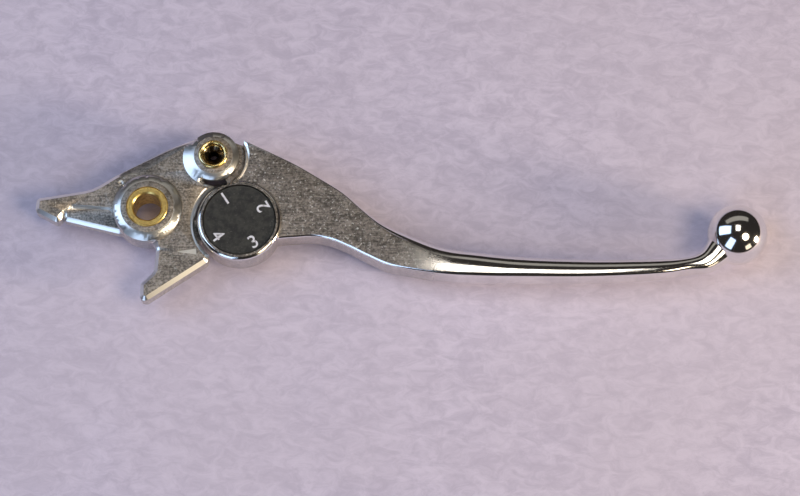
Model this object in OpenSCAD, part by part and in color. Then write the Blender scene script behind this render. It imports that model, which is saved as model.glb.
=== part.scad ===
// Front brake lever with a folding, span-adjustable blade.
// It lies flat: +Z runs up the main pivot bore towards the numbered dial, +X runs along the
// blade to its ball end, and +Y points forward, away from the rider. The origin is the middle
// of the main pivot bore. The dial is at position 4, where the blade sits closest to the grip.

/* [Main pivot] */
// Bore for the main pivot bolt
pivot_bore_d = 8; // [6:0.5:9]
// Outside of the bronze bush
bush_d = 12.1; // [10.6:0.1:13]
// Length of the bush, which the clamp's jaws close on
bush_len = 10; // [9.6:0.1:11]
// How far the bush stands proud of the holder's boss at each end
bush_proud = 0.1; // [0.05:0.05:0.2]
// Outside of the raised boss round the bush
pivot_boss_d = 20; // [18:0.5:21]
// Width of the slope round the raised boss
pivot_boss_slope = 2.3; // [1.5:0.1:2.6]

/* [Holder] */
// Thickness of the cast plate
holder_t = 6.4; // [6:0.1:7]
// Width of the polished bevel round the plate
edge_bevel = 1.1; // [0.7:0.1:1.2]
// Thickness of the lower ledge along the switch arm
ledge_t = 5.2; // [4.6:0.1:5.8]
// Slope of the upper flank between the switch arm and the hinge, in degrees
flank_slope = 16; // [8:1:24]
// Direction of the ridge where the upper flank starts, in degrees
ridge_turn = 33; // [28:1:38]
// How far forward of the ridge's touch on the pivot boss the flank's steeper slope starts
flank_step = 1.7; // [1:0.1:2.4]
// Dimple in the face left of the pivot
dimple_d = 1.8; // [1:0.1:2.4]
// Dimple, left of the pivot
dimple_x = 7.9; // [7:0.1:9]
// Dimple, forward of the pivot
dimple_y = 7.8; // [7:0.1:8.4]
// How far the switch tip reaches left of the pivot
switch_reach = 32.1; // [28:0.1:36]
// How far the piston arm's nose reaches towards the rider
piston_reach = 27; // [26:0.1:30]
// How far left of the pivot the nose's flat face stands
piston_face_x = 1.6; // [1:0.1:3]
// Depth of the wedge-shaped mark that the chosen dial position stands at
mark_depth = 0.5; // [0.3:0.05:0.8]
// Length of the mark
mark_len = 5.4; // [3:0.1:6]
// Width of the mark at its wide end
mark_w = 2; // [1.2:0.1:2.4]
// Direction of the mark from the dial, in degrees
mark_turn = 216; // [212:1:220]

/* [Blade hinge] */
// Hinge pin, right of the main pivot
hinge_x = 18.7; // [18:0.1:20]
// Hinge pin, forward of the main pivot
hinge_y = 15.6; // [15:0.1:17]
// Thickness over the two ears of the fork
ears_t = 10; // [9.6:0.1:11]
// Outside of the ears
ear_d = 14.6; // [13.6:0.2:15.2]
// Flat top of the ears, round the pin's lip
ear_top_d = 11.2; // [10.4:0.1:12]
// Foot of the slope round the ears, on the holder's face
ear_foot_d = 17.8; // [16:0.2:19]
// Shank of the hinge pin
pin_d = 6.5; // [6:0.1:7]
// Rolled lip of the hinge pin
lip_d = 8.6; // [8.2:0.1:9]
// Through hole in the hinge pin
pin_hole_d = 2.4; // [1.8:0.1:3]
// Blade tongue between the ears
tongue_t = 4.6; // [4.2:0.1:5]
// Thrust shim on each side of the tongue
shim_t = 0.28; // [0.2:0.02:0.4]
// Open ring between the ears and the thick part of the blade
ear_clear = 1.4; // [0.8:0.1:1.6]
// Furthest that the blade can be pushed forward against its spring, in degrees
flip_angle = 8; // [4:1:9]

/* [Return spring] */
// Wire of the torsion spring
wire_d = 0.8; // [0.6:0.05:0.9]
// Turns of the torsion spring
spring_turns = 2; // [1.5:0.25:2]
// Air between the spring and what it turns round or sits in
spring_air = 0.35; // [0.2:0.05:0.45]
// How far the spring's lower end stands in the ear
leg_depth = 1.6; // [1:0.1:2]
// How far the slot for the spring's upper end runs beyond the spring's pocket
leg_reach = 1.2; // [0.8:0.1:1.4]

/* [Span adjuster] */
// Dial centre, right of the main pivot
dial_x = 26.5; // [26:0.1:28]
// Dial centre, behind the main pivot
dial_y = -4; // [-5:0.1:-3.6]
// Dial disc
dial_d = 20.9; // [20:0.1:22]
// Thickness of the dial disc
dial_t = 1.9; // [1.6:0.1:2]
// How far the dial's face lies below the rim
dial_sunk = 0.25; // [0.1:0.05:0.4]
// Width of the rim round the dial
rim_w = 1.5; // [1.2:0.1:2]
// Height of the rim above the middle plane
rim_top = 5.2; // [5:0.1:5.5]
// Depth of the blade's round boss below the middle plane
boss_under = 4.5; // [4.4:0.1:5]
// Rounding of the boss at both faces
boss_round = 1.2; // [0.6:0.1:1.4]
// Gap between the boss and the holder's scallop
scallop_gap = 1; // [0.6:0.1:1.2]
// Smallest radius of the snail cam, at position 4
cam_low_r = 5.2; // [4.8:0.1:5.4]
// Swing of the blade from position 4 to position 1, in degrees
span_angle = 7.5; // [5:0.5:8]
// Turn of the dial from position 4 to position 1, in degrees
dial_turn = 270; // [240:30:270]
// Thickness of the cam
cam_t = 4.4; // [4:0.1:4.6]
// Shaft of the cam
shaft_d = 5; // [4.4:0.1:5.6]
// Square end of the shaft that drives the dial
square_w = 4.4; // [3.6:0.1:4.6]
// Depth of the flat where the contact pin seats at each position
seat_depth = 0.06; // [0.02:0.01:0.08]
// Contact pin in the holder's finger
contact_d = 3; // [2.6:0.1:3.2]
// Length of the contact pin
contact_len = 4; // [3.5:0.1:4.4]
// How far the contact pin stands out of the finger
contact_proud = 0.7; // [0.5:0.1:1]
// Width of the holder's finger
finger_w = 5.6; // [5.4:0.1:6]
// Thickness of the holder's finger
finger_t = 3.8; // [3.6:0.1:4]
// Thickness of the wave washer's strip
wave_t = 0.2; // [0.15:0.05:0.3]
// Height that the wave washer fills under the dial
wave_h = 0.4; // [0.35:0.05:0.5]
// Snap ring on the shaft
clip_t = 0.6; // [0.5:0.05:0.8]
// Outside of the snap ring
clip_d = 8; // [7.4:0.1:8.6]

/* [Blade] */
// Thickness of the blade's flat root
root_t = 8.4; // [8:0.1:9]
// Bevel round the blade's root
root_bevel = 0.9; // [0.5:0.1:1.2]
// Bend where the flat root becomes the round grip: right of the pivot
shoulder_x = 72.4; // [70:0.2:75]
// Bend, behind the pivot
shoulder_y = -13.2; // [-15:0.1:-12]
// Width at the bend
shoulder_w = 12; // [10:0.1:13]
// Height at the bend
shoulder_h = 9.2; // [8:0.1:11]
// Second bend: right of the pivot
bend_x = 84; // [80:0.5:90]
// Second bend, behind the pivot
bend_y = -16.3; // [-18:0.1:-15]
// Width at the second bend
bend_w = 10; // [9:0.1:12]
// Height at the second bend
bend_h = 9.6; // [8:0.1:12]
// Middle of the grip: right of the pivot
middle_x = 108; // [100:0.5:118]
// Middle of the grip, behind the pivot
middle_y = -18.4; // [-20:0.1:-17]
// Width at the middle of the grip
middle_w = 8.5; // [7:0.1:10]
// Height at the middle of the grip
middle_h = 9.8; // [8:0.1:12]
// Outer grip: right of the pivot
outer_x = 146; // [135:0.5:150]
// Outer grip, behind the pivot
outer_y = -17.8; // [-19:0.1:-16]
// Width at the outer grip
outer_w = 6.1; // [5:0.1:8]
// Height at the outer grip
outer_h = 8.2; // [6:0.1:10]
// Thinnest part of the grip, before the neck: right of the pivot
waist_x = 154.6; // [152:0.2:157]
// Thinnest part of the grip, behind the pivot
waist_y = -16.9; // [-18:0.1:-16]
// Width of the grip at its thinnest part
waist_w = 5.2; // [4.6:0.1:6]
// Neck between the grip and the ball
neck_d = 9; // [7:0.1:10]
// Ball centre, right of the pivot
ball_x = 169.7; // [168:0.1:175]
// Ball centre, behind the pivot
ball_y = -7; // [-9:0.1:-5]
// Ball at the end of the blade
ball_d = 17.4; // [15:0.2:19]

/* [Clearances] */
// Radial clearance of a running fit
run_fit = 0.03; // [0.02:0.01:0.08]
// Radial clearance of a pressed fit
press_fit = 0.01; // [0.01:0.005:0.02]
// Air between faces that slide past each other
face_gap = 0.02; // [0.01:0.01:0.05]
// Air round parts that move past each other without touching
air = 0.3; // [0.2:0.05:0.4]

/* [Hidden] */
$fn = 72;
tiny = 0.01;

hinge = [hinge_x, hinge_y];
dial = [dial_x, dial_y];
arm = dial - hinge;
arm_len = norm(arm);
// The cam's centre swings away from the contact pin in this direction, square to its arm
push_angle = atan2(arm[0], -arm[1]);

holder_z = holder_t / 2;
root_z = root_t / 2;
ear_z = ears_t / 2;
tongue_z = tongue_t / 2;
fork_z = tongue_z + shim_t + 2 * face_gap;
pivot_boss_z = bush_len / 2 - bush_proud;

ear_r = ear_d / 2;
ear_foot_r = ear_foot_d / 2;
eye_r = ear_r - air;
root_r = ear_r + ear_clear;

dial_r = dial_d / 2;
seat_r = dial_r + air / 2;
boss_r = seat_r + rim_w;
scallop_r = boss_r + scallop_gap;
dial_top = rim_top - dial_sunk;
dial_low = dial_top - dial_t;
ledge_z = dial_low - wave_h;

// Radius of the snail cam at an angle from its low end: the blade swings as the dial turns
span_ratio = span_angle / dial_turn;
function cam_radius(angle) = cam_low_r + arm_len * sin(span_ratio * angle / (1 - span_ratio));
cam_rise_end = dial_turn + 25;
cam_drop_end = 335;
cam_top_r = cam_radius(cam_rise_end);
seat_step = dial_turn / 3 * (1 - span_ratio);
cam_start = 180 + push_angle;
chamber_r = cam_top_r + air;
chamber_z = cam_t / 2 + air / 2;
contact_gap = 2 * run_fit;
contact_at = cam_low_r + contact_gap;
finger_at = contact_at + contact_proud;
// The finger's curved middle line runs through the middle of the straight contact pin
finger_r = norm([arm_len, contact_at + contact_len / 2]);
finger_r1 = finger_r - finger_w / 2;
finger_r2 = finger_r + finger_w / 2;
finger_root = scallop_r + 1.2;
slot_z = finger_t / 2 + air;

coil_r = pin_d / 2 + spring_air + wire_d / 2;
coil_pitch = wire_d * 1.06;
coil_low = -fork_z + wire_d / 2 + 0.1;
coil_top = coil_low + spring_turns * coil_pitch;
pocket_r = coil_r + wire_d / 2 + spring_air;
pocket_top = coil_top + wire_d / 2 + air / 2;

clip_pocket_r = clip_d / 2 + 0.6;
clip_top = -boss_under + 1.4;
shaft_low = -boss_under + 0.3;
clip_z = clip_top - face_gap - clip_t;
groove_r = shaft_d / 2 - 0.6;

function unit(v) = v / norm(v);
function polar(radius, angle) = [radius * cos(angle), radius * sin(angle)];
function wrapped(angle) = angle > 180 ? angle - 360 : angle < -180 ? angle + 360 : angle;

// Points of one corner, rounded with its own radius
function corner(a, b, c, radius) =
    let (u = unit(a - b), w = unit(c - b), half = acos(u * w) / 2,
        centre = b + unit(u + w) * radius / sin(half),
        p = b + u * radius / tan(half) - centre, q = b + w * radius / tan(half) - centre,
        start = atan2(p[1], p[0]), sweep = wrapped(atan2(q[1], q[0]) - start),
        steps = max(2, ceil(abs(sweep) / 12)))
    [for (i = [0 : steps]) centre + polar(radius, start + sweep * i / steps)];

// Outline of straight lines and arcs from corners given as x, y and radius
function rounded(corners) =
    let (n = len(corners), xy = [for (k = corners) [k[0], k[1]]])
    [for (i = [0 : n - 1]) each corner(xy[(i + n - 1) % n], xy[i], xy[(i + 1) % n], corners[i][2])];

// The same outline drawn inwards by a distance; it runs anticlockwise
function inset(points, distance) =
    let (n = len(points))
    [for (i = [0 : n - 1])
        let (e = unit(points[i] - points[(i + n - 1) % n]), f = unit(points[(i + 1) % n] - points[i]),
            m = [e[1] + f[1], -e[0] - f[0]])
        points[i] - m * distance / (1 + e * f)];

// Smooth curve through sections, at a fraction of the way from b to c
function between(a, b, c, d, t) =
    b + (c - a) * t / 2 + (2 * a - 5 * b + 4 * c - d) * t * t / 2 + (3 * b - a - 3 * c + d) * t * t * t / 2;

module at_hinge() { translate([hinge_x, hinge_y, 0]) children(); }
module at_dial() { translate([dial_x, dial_y, 0]) children(); }

// Skin through rings of equal length, closed at both ends; each runs anticlockwise about the way on
module skin(rings) {
    n = len(rings[0]);
    last = len(rings) - 1;
    polyhedron(
        points = [for (ring = rings) each ring],
        faces = [
            [for (i = [0 : n - 1]) i],
            for (k = [0 : last - 1]) for (i = [0 : n - 1])
                each [[k * n + i, (k + 1) * n + (i + 1) % n, k * n + (i + 1) % n],
                    [k * n + i, (k + 1) * n + i, (k + 1) * n + (i + 1) % n]],
            [for (i = [n - 1 : -1 : 0]) last * n + i]]);
}

// Skin through rings that close on themselves
module skin_ring(rings) {
    n = len(rings[0]);
    count = len(rings);
    polyhedron(
        points = [for (r = rings) each r],
        faces = [for (k = [0 : count - 1]) for (i = [0 : n - 1])
            let (a = k * n + i, b = k * n + (i + 1) % n, c = (k + 1) % count * n + (i + 1) % n,
                d = (k + 1) % count * n + i)
            each [[a, d, c], [a, c, b]]]);
}

// Flat plate, centred on the middle plane, with a bevel cut round both faces
module bevelled_plate(outline, thickness, bevel) {
    over = 0.1;
    z = thickness / 2;
    low = inset(outline, -over);
    high = inset(outline, bevel + over);
    difference() {
        linear_extrude(thickness, center = true) polygon(outline);
        for (side = [0, 1]) mirror([0, 0, side])
            skin_ring([for (i = [0 : len(outline) - 1])
                [[low[i][0], low[i][1], z - bevel - over], [high[i][0], high[i][1], z + over],
                    [low[i][0], low[i][1], z + over]]]);
    }
}

// Round boss, centred on the middle plane, with a slope round both faces
module sloped_boss(radius, half, slope, drop) {
    rotate_extrude()
        polygon([[0, -half], [radius - slope, -half], [radius, -half + drop], [radius, half - drop],
            [radius - slope, half], [0, half]]);
}

// Round boss with rounded edges
module rounded_boss(radius, low, high, round_r) {
    side = radius - round_r;
    rotate_extrude()
        polygon(concat([[0, low]],
            [for (a = [-90 : 15 : 0]) [side, low + round_r] + polar(round_r, a)],
            [for (a = [0 : 15 : 90]) [side, high - round_r] + polar(round_r, a)],
            [[0, high]]));
}

module bore(radius, low, high) { translate([0, 0, low]) cylinder(r = radius, h = high - low); }

module ring(outer, inner, low, high) {
    difference() {
        bore(outer, low, high);
        bore(inner, low - 1, high + 1);
    }
}

// Outline of the switch arm, the body and the piston arm, anticlockwise from the switch tip
function holder_outline() = rounded([
    [-switch_reach, 3.2, 1.4],
    [-switch_reach - 0.3, -0.6, 1.4],
    [-25.6, -4.2, 1.4],
    [-23.9, -1.6, 2],
    [-21.6, 0.1, 0.6],
    [-11, -0.8, 2],
    [-6, -8, 2],
    [2, -10.2, 1.4],
    [2.7, -12.2, 3],
    [2.2, -18.9, 2.5],
    [-piston_face_x, -piston_reach + 4.5, 1.4],
    [-piston_face_x, -piston_reach, 1.35],
    [-piston_face_x + 1.9, -piston_reach - 0.4, 1.35],
    [17.4, -15.9, 1.4],
    [18.2, -12.2, 1.4],
    [19.6, 6.8, 1.4],
    [15.9, 8, 0.6],
    [hinge_x - 1.5, hinge_y - 1, 2],
    [hinge_x - 3.2, hinge_y + 6.6, 2],
    [5.9, 18.4, 30],
    [-9.6, 10.1, 8],
    [-16, 5.9, 12]]);

// Outline of the ledge behind the switch arm
function ledge_outline() = rounded([
    [-24.4, 1, 1.4],
    [-24.3, -3.2, 1.4],
    [-6.4, -7.6, 2],
    [-4, 1, 1.4]]);

module pivot_holder() {
    color([0.36, 0.35, 0.31]) {
        difference() {
            union() {
                difference() {
                    bevelled_plate(holder_outline(), holder_t, edge_bevel);
                    for (side = [0, 1]) mirror([0, 0, side]) upper_flank();
                }
                bevelled_plate(ledge_outline(), ledge_t, edge_bevel);
                sloped_boss(pivot_boss_d / 2, pivot_boss_z, pivot_boss_slope, pivot_boss_slope / 2);
                ears();
            }
            bore(bush_d / 2 + press_fit, -bush_len, bush_len);
            at_hinge() {
                bore(pin_d / 2 + run_fit, -ears_t, ears_t);
                bore(ear_r + air, -fork_z, fork_z);
                translate([coil_r, 0, 0]) bore(wire_d / 2 + 0.1, -fork_z - leg_depth - air, 0);
            }
            at_dial() scallop();
            position_mark();
            translate([-dimple_x, dimple_y, holder_z + dimple_d / 5]) sphere(d = dimple_d, $fn = 32);
        }
        finger();
    }
}

// Wedge cut off the upper flank: its ridge touches the pivot's boss and runs to the ears
module upper_flank() {
    touch = polar(pivot_boss_d / 2, ridge_turn + 90);
    translate([touch[0], touch[1], holder_z]) intersection() {
        rotate(ridge_turn) slope_cut(flank_slope);
        translate([0, flank_step, 0]) slope_cut(2 * flank_slope);
    }
}

// Cut above a plane that falls away forward from the line along X
module slope_cut(slope) {
    reach = 2 * pivot_boss_d;
    rotate([-slope, 0, 0]) translate([-reach, -holder_z, 0]) cube([2 * reach, reach, holder_t]);
}

// The fork's ears, with a slope that runs out on the holder's face
module ears() {
    rise = ear_z - holder_z;
    sink = holder_z / 4;
    run = (ear_foot_r - ear_top_d / 2) / rise;
    intersection() {
        at_hinge() sloped_boss(ear_foot_r + sink * run, ear_z, (rise + sink) * run, rise + sink);
        union() {
            linear_extrude(ears_t, center = true) polygon(inset(holder_outline(), edge_bevel + 5 * tiny));
            at_hinge() bore(ear_r, -ears_t, ears_t);
        }
    }
}

// Round cut that the blade's boss stands in, bevelled at both faces
module scallop() {
    wide = scallop_r + edge_bevel;
    rotate_extrude()
        polygon([[0, -holder_t], [wide, -holder_t], [wide, -holder_z], [scallop_r, -holder_z + edge_bevel],
            [scallop_r, holder_z - edge_bevel], [wide, holder_z], [wide, holder_t], [0, holder_t]]);
}

// Wedge-shaped mark cut in the face beside the dial
module position_mark() {
    wide_end = dial + polar(scallop_r + edge_bevel + mark_w * 0.45, mark_turn);
    translate([wide_end[0], wide_end[1], holder_z - mark_depth])
        linear_extrude(1)
            polygon([[0, -mark_w / 2], [0, mark_w / 2], [-mark_len, mark_w / 8], [-mark_len, -mark_w / 8]]);
}

// Finger that carries the contact pin into the blade's boss, curved round the hinge
module finger() {
    difference() {
        intersection() {
            at_hinge() ring(finger_r2, finger_r1, -finger_t / 2, finger_t / 2);
            at_dial() rotate(push_angle) translate([-finger_root, -2 * finger_w, -finger_t])
                cube([finger_root - finger_at, 4 * finger_w, 2 * finger_t]);
        }
        contact_line() bore(contact_d / 2 + press_fit, contact_at, contact_at + contact_len + face_gap);
    }
}

// Turns +Z of its children to the line from the dial's centre to the contact pin
module contact_line() { at_dial() rotate([0, -90, push_angle]) children(); }

module pivot_bush() {
    color([0.74, 0.57, 0.28])
        rotate_extrude()
            polygon([[pivot_bore_d / 2, -bush_len / 2 + 0.4], [pivot_bore_d / 2 + 0.4, -bush_len / 2],
                [bush_d / 2 - 0.3, -bush_len / 2], [bush_d / 2, -bush_len / 2 + 0.3],
                [bush_d / 2, bush_len / 2 - 0.3], [bush_d / 2 - 0.3, bush_len / 2],
                [pivot_bore_d / 2 + 0.4, bush_len / 2], [pivot_bore_d / 2, bush_len / 2 - 0.4]]);
}

// Hardened pin with a slightly domed end that bears on the cam
module contact_pin() {
    dome = 6;
    color([0.7, 0.71, 0.73])
        contact_line() intersection() {
            bore(contact_d / 2, contact_at, contact_at + contact_len);
            translate([0, 0, contact_at + dome]) sphere(r = dome);
        }
}

// Tubular rivet with a rolled lip and a flared mouth at each end
module hinge_pin() {
    r = pin_d / 2;
    lip_r = 0.62;
    roll = lip_d / 2 - lip_r;
    lip_z = ear_z + face_gap + lip_r;
    flare = roll - lip_r;
    hole = pin_hole_d / 2;
    mouth = 1.6;
    color([0.83, 0.68, 0.3])
        at_hinge() rotate_extrude() {
            polygon([[hole, -lip_z + mouth], [flare, -lip_z], [roll, -lip_z], [r, -lip_z + lip_r],
                [r, lip_z - lip_r], [roll, lip_z], [flare, lip_z], [hole, lip_z - mouth]]);
            for (side = [-1, 1]) translate([roll, side * lip_z]) circle(r = lip_r, $fn = 32);
        }
}

module upper_shim() {
    color([0.86, 0.86, 0.84])
        at_hinge() ring(eye_r - 0.2, pin_d / 2 + run_fit, tongue_z + face_gap, tongue_z + face_gap + shim_t);
}

module lower_shim() {
    color([0.86, 0.86, 0.84])
        at_hinge() ring(eye_r - 0.2, pocket_r, -tongue_z - face_gap - shim_t, -tongue_z - face_gap);
}

// Torsion spring: one end stands in the lower ear, the other bears on the blade
module return_spring() {
    steps = 20;
    sides = 8;
    turns = ceil(spring_turns * steps);
    function wire(centre, heading) =
        [for (i = [0 : sides - 1])
            let (s = -360 * i / sides, out = wire_d / 2 * cos(s), up = wire_d / 2 * sin(s))
            [centre[0] + out * cos(heading), centre[1] + out * sin(heading), centre[2] + up]];
    color([0.62, 0.63, 0.66])
        at_hinge() {
            skin([for (k = [0 : turns])
                let (angle = 360 * k / steps, p = polar(coil_r, angle))
                wire([p[0], p[1], coil_low + coil_pitch * k / steps], angle)]);
            translate([coil_r, 0, 0]) bore(wire_d / 2, -fork_z - leg_depth, coil_low);
            rotate(360 * spring_turns) translate([coil_r, 0, coil_top]) rotate([0, 90, 0])
                cylinder(d = wire_d, h = pocket_r - coil_r + leg_reach - air);
        }
}

// Section of the blade across its width, with an edge rounding of its own at the front and the rear
function section_ring(front, rear, half, front_w, rear_w, edge_h) =
    let (centre = (front + rear) / 2, across = unit(front - rear), a = norm(front - rear) / 2)
    [for (quarter = [0 : 3]) for (j = [0 : 5])
        let (angle = 90 * quarter + 15 * j + 7.5, ahead = quarter == 0 || quarter == 3,
            side = ahead ? 1 : -1, edge_w = ahead ? front_w : rear_w, level = quarter < 2 ? 1 : -1,
            w = side * (a - edge_w) + edge_w * cos(angle), h = level * (half - edge_h) + edge_h * sin(angle))
        [centre[0] + across[0] * w, centre[1] + across[1] * w, h]];

// Root sections: front edge, rear edge, half height, rounding at the front, at the rear and in height
root_sections = [
    [hinge_x + 8.9, hinge_y + 5, dial_x - 5, dial_y + 5.5, root_z, root_bevel, root_bevel, root_bevel],
    [hinge_x + 16.3, hinge_y + 1.4, dial_x + 3.5, dial_y - 5, root_z, root_bevel, root_bevel, root_bevel],
    [42.5, 13.2, 40.5, -9.1, root_z, root_bevel, root_bevel, root_bevel],
    [49.6, 8.9, 47, -8.7, root_z, root_bevel, root_bevel, root_bevel],
    [56.2, 4.6, 52.6, -9.6, root_z, root_bevel, root_bevel * 1.4, root_bevel * 1.2],
    [62, -0.5, 58, -11.9, root_z, root_bevel * 1.2, root_bevel * 2.2, root_bevel * 1.7],
    [67.2, -4.3, 63.4, -14.7, root_z + 0.1, root_bevel * 2, root_bevel * 3.2, root_bevel * 2.6]];
root_end = root_sections[len(root_sections) - 1];

// Grip sections: centre, width and height
grip_stations = [
    [shoulder_x, shoulder_y, shoulder_w, shoulder_h],
    [bend_x, bend_y, bend_w, bend_h],
    [middle_x, middle_y, middle_w, middle_h],
    [(middle_x + outer_x) / 2, (middle_y + outer_y) / 2 - 0.4, (middle_w + outer_w) / 2, (middle_h + outer_h) / 2],
    [outer_x, outer_y, outer_w, outer_h],
    [waist_x, waist_y, waist_w, outer_h - 1],
    [ball_x - 9.5, ball_y - 8.3, waist_w + 0.8, neck_d - 1.6],
    [ball_x - 5.5, ball_y - 4.9, neck_d - 0.4, neck_d - 0.2],
    [ball_x - 2.6, ball_y - 2.2, neck_d, neck_d]];

function grip_section(k) =
    let (n = len(grip_stations), here = grip_stations[k],
        prior = k > 0 ? grip_stations[k - 1] : [root_end[0] + root_end[2], root_end[1] + root_end[3]] / 2,
        next = k < n - 1 ? grip_stations[k + 1] : [ball_x, ball_y],
        along = unit([next[0] - prior[0], next[1] - prior[1]]),
        across = [-along[1], along[0]] * here[2] / 2)
    [here[0] + across[0], here[1] + across[1], here[0] - across[0], here[1] - across[1],
        here[3] / 2, here[2] / 2, here[2] / 2, here[3] / 2];

blade_sections = concat(root_sections, [for (k = [0 : len(grip_stations) - 1]) grip_section(k)]);

// Lofted body of the blade, from the root to the ball
module blade_loft() {
    steps = 4;
    n = len(blade_sections);
    rows = [for (k = [0 : n - 2]) for (i = [0 : steps - 1])
        between(blade_sections[max(k - 1, 0)], blade_sections[k], blade_sections[k + 1],
            blade_sections[min(k + 2, n - 1)], i / steps)];
    skin([for (s = concat(rows, [blade_sections[n - 1]]))
        section_ring([s[0], s[1]], [s[2], s[3]], s[4], s[5], s[6], s[7])]);
}

// Tongue that turns in the fork
module tongue() {
    at_hinge() {
        bore(eye_r, -tongue_z, tongue_z);
        translate([0, 0, -tongue_z]) linear_extrude(tongue_t)
            polygon([[0, 0], polar(root_r + 1.5, -62), polar(root_r + 3, -20), polar(root_r + 1.5, 18),
                polar(eye_r, 45)]);
    }
}

// Hollow round the ears, above and below the tongue, with a slope at the outer face
module ear_hollow() {
    wide = root_r + 1.7;
    at_hinge() for (side = [0, 1]) mirror([0, 0, side])
        rotate_extrude()
            polygon([[0, tongue_z], [root_r, tongue_z], [root_r, root_z - 1.5], [wide, root_z],
                [wide, root_t], [0, root_t]]);
}

module blade() {
    color([0.6, 0.6, 0.58])
        difference() {
            union() {
                difference() {
                    union() {
                        blade_loft();
                        at_dial() rounded_boss(boss_r, -boss_under, rim_top, boss_round);
                    }
                    ear_hollow();
                }
                tongue();
                translate([ball_x, ball_y, 0]) sphere(d = ball_d);
            }
            at_hinge() {
                bore(pin_d / 2 + run_fit, -ears_t, ears_t);
                bore(pocket_r, -tongue_t, pocket_top);
                spring_slot();
            }
            at_dial() {
                bore(seat_r, ledge_z, rim_top + 1);
                bore(chamber_r, -chamber_z, ledge_z + tiny);
                bore(shaft_d / 2 + run_fit, -boss_under - 1, 0);
                bore(clip_pocket_r, -boss_under - 1, clip_top);
            }
            finger_slot();
        }
}

// Room for the spring's upper end while the blade swings
module spring_slot() {
    leg = 360 * spring_turns;
    sweep = span_angle + flip_angle;
    ease = 11;
    reach = pocket_r + leg_reach;
    translate([0, 0, -tongue_t]) linear_extrude(tongue_t + pocket_top)
        polygon([[0, 0], polar(reach, leg - sweep - ease), polar(reach, leg - sweep / 2), polar(reach, leg + ease)]);
}

// Curved way through the boss for the holder's finger
module finger_slot() {
    intersection() {
        at_hinge() ring(finger_r2 + air, finger_r1 - air, -slot_z, slot_z);
        at_dial() rotate(push_angle) translate([-boss_r - 2, -boss_r, -slot_z])
            cube([boss_r + 2, 2 * boss_r, 2 * slot_z]);
    }
}

module adjuster_dial() {
    chamfer = 0.35;
    socket_w = square_w + 2 * press_fit;
    color([0.12, 0.12, 0.12])
        at_dial() difference() {
            rotate_extrude()
                polygon([[0, dial_low], [dial_r, dial_low], [dial_r, dial_top - chamfer],
                    [dial_r - chamfer, dial_top], [0, dial_top]]);
            translate([-socket_w / 2, -socket_w / 2, dial_low - 1])
                cube([socket_w, socket_w, 1 + dial_t * 0.65]);
        }
}

// Snail cam on its shaft, rising from position 4 to position 1, with a flat at each position
module snail_cam() {
    step = 5;
    flat_w = 6;
    rise = [for (a = [0 : step : cam_rise_end]) polar(cam_radius(a), a)];
    drop = [for (a = [cam_drop_end : step : 360 - step]) polar(cam_low_r, a)];
    color([0.72, 0.72, 0.72])
        at_dial() {
            difference() {
                rotate(cam_start) linear_extrude(cam_t, center = true) polygon(concat(rise, drop));
                for (k = [0 : 3])
                    rotate(cam_start + k * seat_step)
                        translate([cam_radius(k * seat_step) - seat_depth, -flat_w / 2, -cam_t])
                            cube([flat_w, flat_w, 2 * cam_t]);
            }
            bore(square_w * 0.75, 0, dial_low - face_gap);
            translate([-square_w / 2, -square_w / 2, 0]) cube([square_w, square_w, dial_low + dial_t * 0.5]);
            difference() {
                bore(shaft_d / 2, shaft_low, 0);
                ring(shaft_d, groove_r, clip_z - face_gap, clip_top);
            }
        }
}

// Wave washer that keeps the dial from rattling
module wave_washer() {
    outer = dial_r - 0.2;
    inner = chamber_r + 0.15;
    waves = 3;
    lift = (wave_h - wave_t) / 2 - face_gap;
    middle = ledge_z + wave_h / 2;
    steps = 48;
    function level(angle) = middle + lift * cos(waves * angle);
    color([0.66, 0.66, 0.68])
        at_dial()
            skin_ring([for (k = [0 : steps - 1])
                let (angle = 360 * k / steps, z = level(angle), o = polar(outer, angle), i = polar(inner, angle))
                [[o[0], o[1], z - wave_t / 2], [o[0], o[1], z + wave_t / 2],
                    [i[0], i[1], z + wave_t / 2], [i[0], i[1], z - wave_t / 2]]]);
}

// Snap ring with an open side and two pliers' holes, in the shaft's groove
module snap_ring() {
    opening = groove_r * 1.6;
    hole_at = clip_d / 2 - 0.9;
    color([0.2, 0.2, 0.21])
        at_dial() difference() {
            ring(clip_d / 2, groove_r + run_fit, clip_z, clip_z + clip_t);
            translate([0, -opening / 2, clip_z - 1]) cube([clip_d, opening, clip_t + 2]);
            for (a = [130, 230]) rotate(a) translate([hole_at, 0, 0]) bore(0.55, clip_z - 1, clip_z + 2);
        }
}

pivot_holder();
pivot_bush();
contact_pin();
hinge_pin();
upper_shim();
lower_shim();
return_spring();
blade();
adjuster_dial();
snail_cam();
wave_washer();
snap_ring();
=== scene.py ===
"""The brake lever as it lies on pale paper by a window, dressed over its solid model."""

import math

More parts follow.
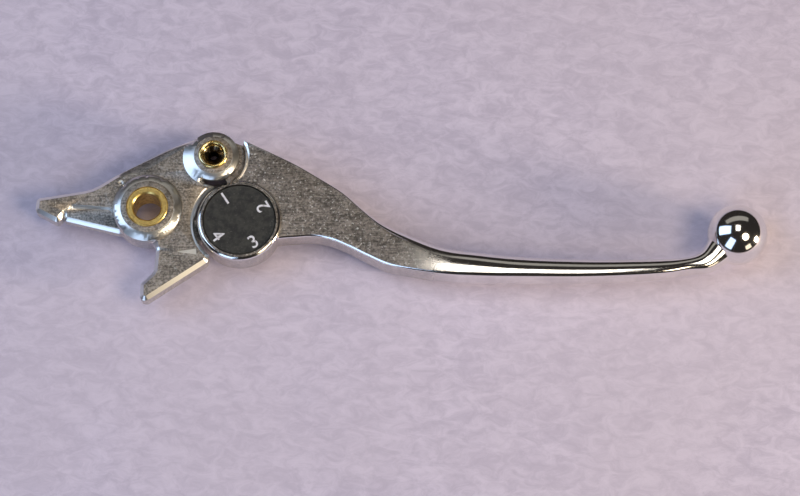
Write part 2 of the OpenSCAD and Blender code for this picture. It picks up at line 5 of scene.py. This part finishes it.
import bmesh
import bpy
import numpy as np
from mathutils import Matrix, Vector


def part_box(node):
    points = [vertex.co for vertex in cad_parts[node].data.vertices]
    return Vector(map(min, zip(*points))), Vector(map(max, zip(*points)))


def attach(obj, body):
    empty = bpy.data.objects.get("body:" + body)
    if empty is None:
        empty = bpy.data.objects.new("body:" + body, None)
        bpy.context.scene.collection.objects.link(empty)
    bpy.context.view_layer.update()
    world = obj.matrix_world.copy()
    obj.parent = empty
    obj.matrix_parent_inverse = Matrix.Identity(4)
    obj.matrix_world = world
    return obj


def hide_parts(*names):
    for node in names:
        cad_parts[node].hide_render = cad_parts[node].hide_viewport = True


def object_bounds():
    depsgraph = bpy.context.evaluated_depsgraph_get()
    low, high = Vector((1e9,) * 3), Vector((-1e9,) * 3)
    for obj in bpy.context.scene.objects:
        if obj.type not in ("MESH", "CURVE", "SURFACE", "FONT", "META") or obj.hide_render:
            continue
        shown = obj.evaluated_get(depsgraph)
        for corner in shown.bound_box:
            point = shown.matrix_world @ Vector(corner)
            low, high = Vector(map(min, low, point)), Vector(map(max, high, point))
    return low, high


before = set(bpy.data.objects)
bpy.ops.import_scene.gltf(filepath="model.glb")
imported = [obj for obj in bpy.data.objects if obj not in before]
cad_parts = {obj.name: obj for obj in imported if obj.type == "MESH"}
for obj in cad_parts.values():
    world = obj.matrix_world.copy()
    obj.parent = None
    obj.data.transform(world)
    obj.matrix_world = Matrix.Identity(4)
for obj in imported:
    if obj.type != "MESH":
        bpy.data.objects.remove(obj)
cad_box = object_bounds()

MM = 0.001

# Places on the lever, in metres, as the solid model has them
HINGE = (np.array(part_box("hinge_pin")[0]) + np.array(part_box("hinge_pin")[1])) / 2
DIAL = (np.array(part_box("adjuster_dial")[0]) + np.array(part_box("adjuster_dial")[1])) / 2
DIAL_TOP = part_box("adjuster_dial")[1][2]
FLOOR_Z = cad_box[0][2]

# Lofted part of the blade, in mm: front edge x, y, rear edge x, y, half height, rounding in front,
# rounding at the rear, and how far the top turns each way, in degrees. The first row only steers.
BLADE = [
    [42.5, 13.2, 40.5, -9.1, 4.2, 0.9, 0.9, 0.4],
    [49.6, 8.9, 47.0, -8.7, 4.2, 0.9, 0.9, 0.4],
    [56.2, 4.6, 52.6, -9.6, 4.2, 0.95, 0.9, 0.5],
    [62.0, -0.5, 58.0, -11.9, 4.2, 1.2, 0.9, 1.0],
    [67.2, -4.3, 63.4, -14.7, 4.25, 2.0, 0.95, 2.0],
    [74.4, -7.6, 70.2, -17.6, 4.4, 3.2, 1.0, 4.0],
    [84.7, -11.35, 83.3, -19.85, 4.5, 3.9, 1.0, 8.0],
    [95.4, -12.9, 95.0, -20.6, 4.6, 4.0, 1.0, 10.0],
    [108.1, -14.15, 107.9, -20.8, 4.55, 4.0, 1.0, 12.0],
    [127.0, -14.85, 127.0, -20.75, 4.35, 3.7, 1.0, 12.0],
    [146.0, -14.75, 146.2, -19.8, 4.0, 3.2, 1.0, 12.0],
    [154.3, -14.3, 155.1, -18.5, 3.6, 2.5, 1.2, 10.0],
    [158.8, -12.64, 161.6, -17.96, 3.7, 2.9, 2.2, 5.0],
    [161.35, -8.68, 167.05, -15.12, 4.35, 4.1, 4.0, 1.0],
    [164.1, -5.84, 170.1, -12.56, 4.5, 4.4, 4.4, 0.5]]
# Rings of the loft between two rows of the table, and points on each stretch of a ring
RINGS_PER_ROW = 22
NOSE_POINTS = 20
TOP_POINTS = 15
RIDGE_POINTS = 16
WALL_POINTS = 4
LEAST_TURN = 0.4
# The ball's middle and radius, in mm
BALL = (169.7, -7.0)
BALL_R = 8.7
# The section where the blade's own solid hands over to the loft: a place in mm and a direction
CUT_PLACE = (48.3, 0.1, 0.0)
CUT_WAY = (0.9893, -0.1461, 0.0)

# Where the buffing of the blade starts and is complete, in mm to the right of the pivot
BUFFED = (69, 92)
# Middle and half size of the floor of the position arrow, in mm
ARROW_FLOOR = (11.8, -12.9, 2.7)
ARROW_REACH = (4, 1.5, 0.1)


class Signal:
    """A value in a material. Arithmetic on it adds Math nodes, with plain numbers on either side."""

    def __init__(self, paint, socket):
        self.paint = paint
        self.socket = socket

    def __add__(self, other):
        return self.paint.math("ADD", self, other)

    def __sub__(self, other):
        return self.paint.math("SUBTRACT", self, other)

    def __mul__(self, other):
        return self.paint.math("MULTIPLY", self, other)

    def __rsub__(self, other):
        return self.paint.math("SUBTRACT", other, self)

    __radd__ = __add__
    __rmul__ = __mul__


class Paint:
    """A material under construction: every node comes from node(), and surface() closes it."""

    def __init__(self, name):
        self.material = bpy.data.materials.new(name)
        self.material.use_nodes = True
        self.tree = self.material.node_tree
        self.tree.nodes.clear()

    def node(self, kind, settings=None, inputs=None, out=0):
        """Adds a node, sets its settings first, then its sockets, and returns one output."""
        made = self.tree.nodes.new(kind)
        for key, value in (settings or {}).items():
            if key == "stops":
                self.set_stops(made, value)
            else:
                setattr(made, key, value)
        for key, value in (inputs or {}).items():
            self.feed(made.inputs[key], value)
        return Signal(self, made.outputs[out]) if made.outputs else made

    def set_stops(self, ramp, stops):
        elements = ramp.color_ramp.elements
        while len(elements) < len(stops):
            elements.new(0.5)
        for element, (place, colour) in zip(elements, stops):
            element.position = place
            element.color = (*colour, 1)

    def feed(self, socket, value):
        if isinstance(value, Signal):
            self.tree.links.new(value.socket, socket)
        elif isinstance(value, tuple) and len(value) == 3 and len(socket.default_value) == 4:
            socket.default_value = (*value, 1)
        else:
            socket.default_value = value

    def math(self, operation, *values):
        return self.node("ShaderNodeMath", {"operation": operation}, dict(enumerate(values)))

    def mix(self, factor, a, b):
        """Colour a where the factor is 0, b where it is 1."""
        return self.node("ShaderNodeMix", {"data_type": "RGBA"}, {0: factor, 6: a, 7: b}, out=2)

    def band(self, value, low, high):
        """0 below low, 1 above high, and a smooth step between."""
        return self.node("ShaderNodeMapRange", {"interpolation_type": "SMOOTHSTEP"},
                         {0: value, 1: low, 2: high, 3: 0.0, 4: 1.0})

    def place(self, scale=(1, 1, 1), turn=0.0):
        """Object coordinates in metres, stretched and turned about Z."""
        coords = self.node("ShaderNodeTexCoord", out=3)
        return self.node("ShaderNodeMapping", {}, {0: coords, 2: (0.0, 0.0, turn), 3: scale})

    def noise(self, where, per_metre, detail=3.0, rough=0.5, warp=0.0):
        return self.node("ShaderNodeTexNoise", {}, {"Vector": where, "Scale": per_metre, "Detail": detail,
                                                    "Roughness": rough, "Distortion": warp})

    def attribute(self, name):
        return self.node("ShaderNodeAttribute", {"attribute_name": name}, out=2)

    def from_axis(self, centre, per_metre, warp):
        """Rings round an upright axis through the centre, 0 to 1."""
        shift = (-float(centre[0]), -float(centre[1]), 0.0)
        where = self.node("ShaderNodeVectorMath", {"operation": "ADD"}, {0: self.place(), 1: shift})
        return self.node("ShaderNodeTexWave", {"wave_type": "RINGS", "rings_direction": "Z"},
                         {"Vector": where, "Scale": per_metre, "Distortion": warp, "Detail": 2.0}, out=1)

    def bump(self, height, depth, strength=1.0):
        """Normal of a surface raised by height times depth, which is in metres."""
        return self.node("ShaderNodeBump", {}, {"Strength": strength, "Distance": depth, "Height": height})

    def surface(self, **sockets):
        """The Principled surface, with the named sockets fed or set."""
        names = {key.replace("_", " "): value for key, value in sockets.items()}
        shader = self.node("ShaderNodeBsdfPrincipled", {}, names)
        self.node("ShaderNodeOutputMaterial", {}, {0: shader})
        return self.material


def cast_alloy(name, tint, bright, pebble_depth, fleck_amount, shine):
    """Tumbled casting that runs into buffed metal.

    Flats are pebbled and mottled, with long diagonal scratches and small bright flecks where
    the peaks were rubbed. The polish attribute is 1 on bevels and on the grip: there the metal
    is bright, as rough as shine says, and only a slow ripple and hairlines are left.
    """
    paint = Paint(name)
    where = paint.place()
    pebble = paint.noise(where, 1500.0, 5.0, 0.62)
    patches = paint.noise(where, 240.0, 3.0, 0.6)
    streaks = paint.noise(paint.place((1, 16, 1), math.radians(-36)), 160.0, 4.0, 0.7)
    ripple = paint.noise(where, 110.0, 1.0, 0.4)
    hairs = paint.noise(paint.place((1, 26, 26)), 420.0, 3.0, 0.6)
    flecks = paint.band(paint.noise(where, 1150.0, 3.0, 0.7), 0.585, 0.67) * fleck_amount
    polish = paint.attribute("polish")
    raw = 1 - polish
    shade = paint.band(pebble * 0.45 + streaks * 0.3 + patches * 0.25, 0.4, 0.62)
    flat_colour = paint.mix(shade, tuple(0.36 * c for c in tint), tuple(1.35 * c for c in tint))
    flat_colour = paint.mix(flecks, flat_colour, bright)
    colour = paint.mix(polish, flat_colour, bright)
    flat_rough = 0.36 + 0.2 * patches + 0.12 * pebble - 0.12 * flecks
    rough = flat_rough * raw + (shine + 0.05 * hairs) * polish
    flat_height = pebble + patches * 0.6 + streaks * 0.35 + flecks * 0.3
    height = flat_height * raw + (ripple * 0.22 + hairs * 0.012) * polish
    return paint.surface(Base_Color=colour, Metallic=1.0, Roughness=rough,
                         Normal=paint.bump(height, pebble_depth, 0.7))


def turned_brass():
    """Turned bronze bush: fine rings about its bore, warm gold stained brown in patches."""
    paint = Paint("turned_brass")
    rings = paint.from_axis((0, 0), 420.0, 1.5)
    stain = paint.noise(paint.place(), 700.0, 4.0, 0.6)
    colour = paint.mix(paint.band(stain, 0.4, 0.7), (0.98, 0.74, 0.26), (0.66, 0.44, 0.14))
    return paint.surface(Base_Color=colour, Metallic=1.0, Roughness=0.2 + 0.22 * stain,
                         Normal=paint.bump(rings * 0.5 + stain * 0.5, 0.00003, 0.5))


# Radii between which painted shade darkens the hinge pin's gold down in its drilling, in metres
DRILLING_SHADE_R = (0.0024, 0.0029)


def zinc_yellow():
    """Yellow chromate over zinc: gold that drifts to straw and faint rose, with painted shade down in the
    drilling.
    """
    paint = Paint("zinc_yellow")
    cloud = paint.noise(paint.place(), 420.0, 3.0, 0.6)
    fine = paint.noise(paint.place(), 2400.0, 3.0, 0.6)
    stops = [(0.3, (0.66, 0.4, 0.11)), (0.5, (0.9, 0.68, 0.27)), (0.7, (0.95, 0.8, 0.5))]
    colour = paint.node("ShaderNodeValToRGB", {"stops": stops}, {0: cloud})
    apart = paint.node("ShaderNodeVectorMath", {"operation": "DISTANCE"},
                       {0: paint.place((1, 1, 0)), 1: (HINGE[0], HINGE[1], 0)}, 1)
    # Painted shade: inside the drilling the gold turns dark brown, where shade falls in the hollow
    drilling_shade = paint.band(apart, DRILLING_SHADE_R[1], DRILLING_SHADE_R[0])
    colour = paint.mix(drilling_shade, colour, (0.09, 0.07, 0.05))
    return paint.surface(Base_Color=colour, Metallic=1.0, Roughness=0.16 + 0.1 * fine,
                         Normal=paint.bump(fine * 0.3 + cloud, 0.00003, 0.4))


def black_dial():
    """Black anodised disc: matt, with faint turning rings, olive clouds and dust specks."""
    paint = Paint("black_dial")
    rings = paint.from_axis(DIAL, 260.0, 2.0)
    cloud = paint.noise(paint.place(), 420.0, 5.0, 0.7)
    dust = paint.band(paint.noise(paint.place(), 1900.0, 3.0, 0.6), 0.62, 0.74)
    colour = paint.mix(paint.band(cloud, 0.35, 0.65), (0.016, 0.015, 0.014), (0.05, 0.048, 0.04))
    colour = paint.mix(dust * 0.6, colour, (0.15, 0.14, 0.12))
    return paint.surface(Base_Color=colour, Roughness=0.45 + 0.2 * cloud,
                         Normal=paint.bump(rings * 0.25 + cloud, 0.00006, 0.6))


def numeral_paint():
    """White enamel pressed into the numerals, slightly chalky and worn thin in places."""
    paint = Paint("numeral_paint")
    wear = paint.noise(paint.place(), 1500.0, 3.0, 0.6)
    colour = paint.mix(paint.band(wear, 0.5, 0.72), (0.88, 0.86, 0.9), (0.42, 0.38, 0.4))
    return paint.surface(Base_Color=colour, Roughness=0.45 + 0.2 * wear,
                         Normal=paint.bump(wear, 0.00002, 0.5))


def plain_steel(name, tint, rough):
    """Ground or drawn steel: faint directional grain with a few darker marks."""
    paint = Paint(name)
    grain = paint.noise(paint.place((1, 12, 1)), 900.0, 4.0, 0.6)
    marks = paint.noise(paint.place(), 500.0, 3.0, 0.6)
    colour = paint.mix(paint.band(marks, 0.4, 0.7), tint, tuple(0.6 * c for c in tint))
    return paint.surface(Base_Color=colour, Metallic=1.0, Roughness=rough + 0.15 * grain,
                         Normal=paint.bump(grain, 0.00002, 0.5))


def nylon():
    """Natural nylon: milky, with a faint moulded grain."""
    paint = Paint("nylon")
    grain = paint.noise(paint.place(), 2200.0, 3.0, 0.6)
    colour = paint.mix(grain, (0.72, 0.71, 0.66), (0.84, 0.83, 0.79))
    return paint.surface(Base_Color=colour, Roughness=0.42 + 0.1 * grain,
                         Normal=paint.bump(grain, 0.00002, 0.4))


def paper():
    """Lavender felt paper: a fine tooth, and soft tangled fibres a few millimetres long."""
    paint = Paint("paper")
    tooth = paint.noise(paint.place(), 900.0, 4.0, 0.6)
    fibres = paint.noise(paint.place((1, 1.8, 1), math.radians(24)), 170.0, 6.0, 0.7, 0.7)
    cloud = paint.noise(paint.place(), 9.0, 3.0, 0.5)
    colour = paint.mix(paint.band(fibres, 0.3, 0.7), (0.6, 0.535, 0.67), (0.79, 0.71, 0.86))
    colour = paint.mix(paint.band(cloud, 0.35, 0.65) * 0.35, colour, (0.72, 0.63, 0.71))
    return paint.surface(Base_Color=colour, Roughness=0.8, Specular_IOR_Level=0.2,
                         Normal=paint.bump(tooth + fibres, 0.00025, 0.2))


def smooth_step(value, low, high):
    """0 below low, 1 above high, and t^2 (3 - 2 t) between."""
    t = np.clip((value - low) / (high - low), 0, 1)
    return t * t * (3 - 2 * t)


def read_vectors(items, key):
    """Places or normals of a mesh's vertices or faces, as an array of rows of three."""
    values = np.empty(len(items) * 3)
    items.foreach_get(key, values)
    return values.reshape(-1, 3)


def add_polish(mesh, domain, places, normals):
    """The polish attribute: 1 on bevels and slopes, along the grip and on the arrow's floor.

    A slope counts from a lean of 18 degrees, and past 75 degrees, where it stands on edge, it
    keeps half of the polish.
    """
    lean = np.abs(normals[:, 2])
    slope = smooth_step(0.97 - lean, 0, 0.04) * (0.5 + 0.5 * smooth_step(lean, 0.15, 0.3))
    buffed = smooth_step(places[:, 0] / MM, *BUFFED)
    arrow = (np.abs(places / MM - ARROW_FLOOR) < ARROW_REACH).all(axis=1)
    polish = mesh.attributes.new("polish", "FLOAT", domain)
    polish.data.foreach_set("value", np.maximum(np.maximum(slope, buffed), arrow))


def add_object(name, mesh):
    piece = bpy.data.objects.new(name, mesh)
    bpy.context.collection.objects.link(piece)
    return piece


def clean_copy(node, name, angle, cut=None):
    """A CAD node's mesh with its doubles merged and smooth faces between sharp edges.

    With a cut, given as a place and a direction, what lies beyond it is left out and the end closed.
    """
    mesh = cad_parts[node].data.copy()
    mesh.name = name
    work = bmesh.new()
    work.from_mesh(mesh)
    bmesh.ops.remove_doubles(work, verts=work.verts, dist=2e-6)
    bmesh.ops.dissolve_degenerate(work, edges=work.edges, dist=1e-7)
    if cut:
        parts = work.verts[:] + work.edges[:] + work.faces[:]
        made = bmesh.ops.bisect_plane(work, geom=parts, plane_co=cut[0], plane_no=cut[1],
                                      clear_outer=True)
        rim = [part for part in made["geom_cut"] if isinstance(part, bmesh.types.BMEdge)]
        bmesh.ops.holes_fill(work, edges=rim, sides=0)
    bmesh.ops.dissolve_limit(work, angle_limit=math.radians(0.5), verts=work.verts, edges=work.edges)
    work.to_mesh(mesh)
    work.free()
    mesh.shade_smooth()
    mesh.set_sharp_from_angle(angle=math.radians(angle))
    faces = mesh.polygons
    add_polish(mesh, "FACE", read_vectors(faces, "center"), read_vectors(faces, "normal"))
    return add_object(name, mesh)


def shell_mesh(name, rings):
    """Closed mesh through rings of points, an array of rings by points by xyz, with its ends capped.

    The first ring takes its polish from the second, since the cap turns its own normals.
    """
    rows, around = rings.shape[:2]
    ends = rings[[0, -1]].mean(axis=1)
    points = np.concatenate([rings.reshape(-1, 3), ends])
    k, i = np.meshgrid(np.arange(rows - 1), np.arange(around), indexing="ij")
    j = (i + 1) % around
    here, onward = k * around, (k + 1) * around
    quads = np.stack([here + i, here + j, onward + j, onward + i], axis=-1)
    i = np.arange(around)
    j = (i + 1) % around
    last = (rows - 1) * around
    first_cap = np.stack([j, i, np.full(around, rows * around)], axis=-1)
    last_cap = np.stack([last + i, last + j, np.full(around, rows * around + 1)], axis=-1)
    mesh = bpy.data.meshes.new(name)
    faces = quads.reshape(-1, 4).tolist() + first_cap.tolist() + last_cap.tolist()
    mesh.from_pydata(points.tolist(), [], faces)
    work = bmesh.new()
    work.from_mesh(mesh)
    bmesh.ops.recalc_face_normals(work, faces=work.faces)
    work.to_mesh(mesh)
    work.free()
    mesh.shade_smooth()
    mesh.set_sharp_from_angle(angle=math.radians(50))
    normals = read_vectors(mesh.vertices, "normal")
    normals[:around] = normals[around:2 * around]
    add_polish(mesh, "POINT", read_vectors(mesh.vertices, "co"), normals)
    return mesh


def grip_rings():
    """Rings of the lofted blade, in metres.

    Along: each column of the table follows a Catmull-Rom curve through its rows a, b, c and d,
    b + (c - a) t/2 + (2 a - 5 b + 4 c - d) t^2/2 + (3 b - a - 3 c + d) t^3/2. Around: an
    arc of radius R in front and one of radius r at the rear, joined over the top by a parabola
    a (1 - t)^2 + 2 b t (1 - t) + c t^2. It starts and ends along the arcs; b is where those two
    directions cross. A standing wall closes the rear, and the lower half mirrors the upper one.
    """
    table = np.array(BLADE)
    count = len(table)
    t = np.arange((count - 2) * RINGS_PER_ROW + 1) / RINGS_PER_ROW + 1
    k = np.minimum(t.astype(int), count - 2)
    t = (t - k)[:, None]
    a, b, c, d = table[k - 1], table[k], table[k + 1], table[np.minimum(k + 2, count - 1)]
    square = 2 * a - 5 * b + 4 * c - d
    cube = 3 * b - a - 3 * c + d
    row = b + (c - a) * t / 2 + square * t ** 2 / 2 + cube * t ** 3 / 2
    front, rear = row[:, None, 0:2], row[:, None, 2:4]
    centre = (front + rear) / 2
    half_w = np.linalg.norm(front - rear, axis=2) / 2
    across = (front - centre) / half_w[:, :, None]
    high, nose_r, ridge_r = row[:, 4:5], row[:, 5:6], row[:, 6:7]
    bend = np.radians(np.maximum(row[:, 7:8], LEAST_TURN))
    up = math.pi / 2
    nose = (up - bend) * np.linspace(0, 1, NOSE_POINTS)
    ridge = up + bend + (up - bend) * np.linspace(0, 1, RIDGE_POINTS)
    nose_w = half_w - nose_r + nose_r * np.cos(nose)
    nose_h = high - nose_r + nose_r * np.sin(nose)
    ridge_w = ridge_r - half_w + ridge_r * np.cos(ridge)
    ridge_h = high - ridge_r + ridge_r * np.sin(ridge)
    start_w, start_h, end_w, end_h = nose_w[:, -1:], nose_h[:, -1:], ridge_w[:, :1], ridge_h[:, :1]
    run = (end_w - start_w) * np.cos(up + bend) + (end_h - start_h) * np.sin(up + bend)
    run = run / np.sin(2 * bend)
    peak_w = start_w - run * np.sin(up - bend)
    peak_h = start_h + run * np.cos(up - bend)
    t = np.arange(1, TOP_POINTS + 1) / (TOP_POINTS + 1)
    top_w = start_w * (1 - t) ** 2 + 2 * peak_w * t * (1 - t) + end_w * t ** 2
    top_h = start_h * (1 - t) ** 2 + 2 * peak_h * t * (1 - t) + end_h * t ** 2
    upper_w = np.hstack([nose_w, top_w, ridge_w])
    upper_h = np.hstack([nose_h, top_h, ridge_h])
    wall = 1 - 2 * np.arange(1, WALL_POINTS + 1) / (WALL_POINTS + 1)
    w = np.hstack([upper_w, np.repeat(-half_w, WALL_POINTS, axis=1), upper_w[:, ::-1]])
    h = np.hstack([upper_h, (high - ridge_r) * wall, -upper_h[:, ::-1]])
    return np.concatenate([centre + across * w[:, :, None], h[:, :, None]], axis=2) * MM


def ball_rings(rows=72, around=128):
    """Rings of the ball: radius R sin v at height -R cos v, for v from pole to pole, in metres."""
    v = (np.arange(rows) + 0.5) * math.pi / rows
    u = np.arange(around) * 2 * math.pi / around
    wide = BALL_R * np.sin(v)[:, None]
    x = BALL[0] + wide * np.cos(u)
    y = BALL[1] + wide * np.sin(u)
    z = np.repeat(-BALL_R * np.cos(v)[:, None], around, axis=1)
    return np.stack([x, y, z], axis=2) * MM


def dress(piece, material):
    piece.data.materials.clear()
    piece.data.materials.append(material)


def stand_for(piece, node, body, material):
    """Dresses a piece, and puts it in the place of a CAD node, on the node's body."""
    dress(piece, material)
    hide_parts(node)
    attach(piece, body)


# Numerals on the dial: figure, and the direction of its middle about the dial's centre
NUMERALS = {"1": 123, "2": 30, "3": -58, "4": 218}
NUMERAL_R = 7.7 * MM
NUMERAL_H = 3.8 * MM
NUMERAL_T = 0.02 * MM
NUMERAL_SWELL = 0.04 * MM
NUMERAL_LIFT = 0.01 * MM
# A figure's height over the type size of the plain font
FIGURE_SHARE = 0.7


def add_numerals(material):
    """The figures 1 to 4 round the dial, with their feet towards the rim."""
    for figure, direction in NUMERALS.items():
        text = bpy.data.curves.new("numeral_" + figure, "FONT")
        text.body = figure
        text.size = NUMERAL_H / FIGURE_SHARE
        text.align_x = "CENTER"
        text.align_y = "CENTER"
        text.extrude = NUMERAL_T
        text.offset = NUMERAL_SWELL
        lettering = add_object("text_" + figure, text)
        bpy.context.view_layer.update()
        solid = lettering.evaluated_get(bpy.context.evaluated_depsgraph_get())
        mesh = bpy.data.meshes.new_from_object(solid)
        bpy.data.objects.remove(lettering)
        points = read_vectors(mesh.vertices, "co")
        points = points - (points.max(axis=0) + points.min(axis=0)) / 2
        a = math.radians(direction)
        turn = a + math.pi / 2
        spin = np.array([[math.cos(turn), -math.sin(turn)], [math.sin(turn), math.cos(turn)]])
        middle = DIAL[:2] + NUMERAL_R * np.array([math.cos(a), math.sin(a)])
        points[:, :2] = points[:, :2] @ spin.T + middle
        points[:, 2] += DIAL_TOP + NUMERAL_LIFT
        mesh.vertices.foreach_set("co", points.ravel())
        mesh.update()
        piece = add_object("numeral_" + figure, mesh)
        dress(piece, material)
        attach(piece, "dial")


# Half the side of the paper, in metres
FLOOR_HALF = 1.6


def add_floor(material):
    corners = [(FLOOR_HALF * x, FLOOR_HALF * y, FLOOR_Z) for x, y in ((-1, -1), (1, -1), (1, 1), (-1, 1))]
    mesh = bpy.data.meshes.new("floor")
    mesh.from_pydata(corners, [], [(0, 1, 2, 3)])
    floor = add_object("floor", mesh)
    dress(floor, material)


def aim(thing, place, target):
    """Puts a light or a camera at a place and turns its -Z towards the target."""
    thing.location = place
    thing.rotation_euler = (Vector(target) - Vector(place)).to_track_quat("-Z", "Y").to_euler()


def add_panel(name, place, target, size, radiance, colour, shape="RECTANGLE"):
    """An area light that looks as bright as radiance: watts = radiance times pi times its area."""
    area = size[0] * size[1] * (math.pi / 4 if shape == "DISK" else 1)
    light = bpy.data.lights.new(name, "AREA")
    light.shape = shape
    light.size = size[0]
    light.size_y = size[1]
    light.energy = radiance * math.pi * area
    light.color = colour
    aim(add_object(name, light), place, target)


def add_lights():
    """Blue window light from the left and warm lamps above and on the right.

    The two windows show as one on the ball, warm_wall lights the bevels that face right and
    down, and far_wall is the dim strip beyond the lever. Sizes and places are in metres.
    """
    blue = (0.52, 0.7, 1.0)
    warm = (1.0, 0.84, 0.62)
    add_panel("window", (-0.74, 0.12, 0.66), (0.06, 0.0, 0.0), (0.6, 1.0), 2.3, blue)
    add_panel("low_window", (-0.32, -0.71, 0.5), (0.17, 0.0, 0.0), (0.42, 0.8), 2.0, blue)
    add_panel("warm_wall", (0.74, -0.79, 0.28), (0.06, 0.0, 0.0), (0.34, 0.3), 1.5, warm)
    add_panel("overhead_lamp", (0.13, 0.12, 0.8), (0.12, -0.02, 0.0), (0.22, 0.3), 3.4, (1.0, 0.94, 0.86))
    add_panel("ceiling_lamp", (0.557, -0.35, 0.74), (0.15, 0.0, 0.0), (0.4, 0.4), 7.5, warm, "DISK")
    add_panel("table_lamp", (1.2, -0.34, 0.22), (0.1, 0.0, 0.0), (0.28, 0.28), 60.0, warm, "DISK")
    add_panel("far_wall", (0.1, 0.75, 0.66), (0.17, 0.0, 0.0), (1.5, 0.36), 0.3, (1.0, 0.96, 0.88))
    world = bpy.data.worlds.new("room")
    bpy.context.scene.world = world
    world.use_nodes = True
    world.node_tree.nodes["Background"].inputs["Color"].default_value = (0.5, 0.44, 0.42, 1)
    world.node_tree.nodes["Background"].inputs["Strength"].default_value = 0.05


# The photograph is 800 by 496 pixels, at 3.5 pixels to the millimetre, seen 17 degrees off upright
PHOTO_W = 800
PIXELS_PER_MM = 3.5
TILT = 17.0
DISTANCE = 0.8
AIM = (0.0726, -0.0125, 0.005)
SENSOR_W = 36.0


def add_camera():
    camera = bpy.data.cameras.new("camera")
    view = add_object("camera", camera)
    tilt = math.radians(TILT)
    place = (AIM[0], AIM[1] - DISTANCE * math.sin(tilt), AIM[2] + DISTANCE * math.cos(tilt))
    aim(view, place, AIM)
    camera.sensor_width = SENSOR_W
    camera.lens = SENSOR_W * PIXELS_PER_MM * DISTANCE / MM / PHOTO_W
    camera.clip_start = 0.01
    bpy.context.scene.camera = view


holder_alloy = cast_alloy("holder_alloy", (0.44, 0.385, 0.33), (0.88, 0.86, 0.82), 0.00016, 0.35, 0.26)
blade_alloy = cast_alloy("blade_alloy", (0.34, 0.3, 0.265), (0.88, 0.86, 0.83), 0.00022, 0.8, 0.07)
holder_skin = clean_copy("pivot_holder", "holder_skin", 28)
stand_for(holder_skin, "pivot_holder", "holder", holder_alloy)

# The root keeps the solid's own cuts; the loft starts at the same section, where both are flat
cut = (tuple(MM * value for value in CUT_PLACE), CUT_WAY)
root = clean_copy("blade", "blade_root_skin", 28, cut)
grip = add_object("blade_grip_skin", shell_mesh("blade_grip_skin", grip_rings()))
ball = add_object("blade_ball_skin", shell_mesh("blade_ball_skin", ball_rings()))
for piece in (root, grip, ball):
    stand_for(piece, "blade", "blade", blade_alloy)

bush_skin = clean_copy("pivot_bush", "bush_skin", 30)
stand_for(bush_skin, "pivot_bush", "holder", turned_brass())
pin_skin = clean_copy("hinge_pin", "hinge_pin_skin", 40)
stand_for(pin_skin, "hinge_pin", "pin", zinc_yellow())
dial_skin = clean_copy("adjuster_dial", "dial_skin", 30)
stand_for(dial_skin, "adjuster_dial", "dial", black_dial())
add_numerals(numeral_paint())

# The parts inside keep their shapes and take better materials
steel = plain_steel("ground_steel", (0.62, 0.62, 0.63), 0.2)
spring_steel = plain_steel("spring_steel", (0.5, 0.5, 0.52), 0.25)
shim_nylon = nylon()
for name, material in {"contact_pin": steel, "snail_cam": steel, "return_spring": spring_steel,
                       "wave_washer": spring_steel, "upper_shim": shim_nylon, "lower_shim": shim_nylon,
                       "snap_ring": plain_steel("black_steel", (0.07, 0.07, 0.075), 0.35)}.items():
    dress(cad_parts[name], material)
add_floor(paper())
add_lights()
add_camera()
bpy.context.scene.view_settings.view_transform = "Standard"
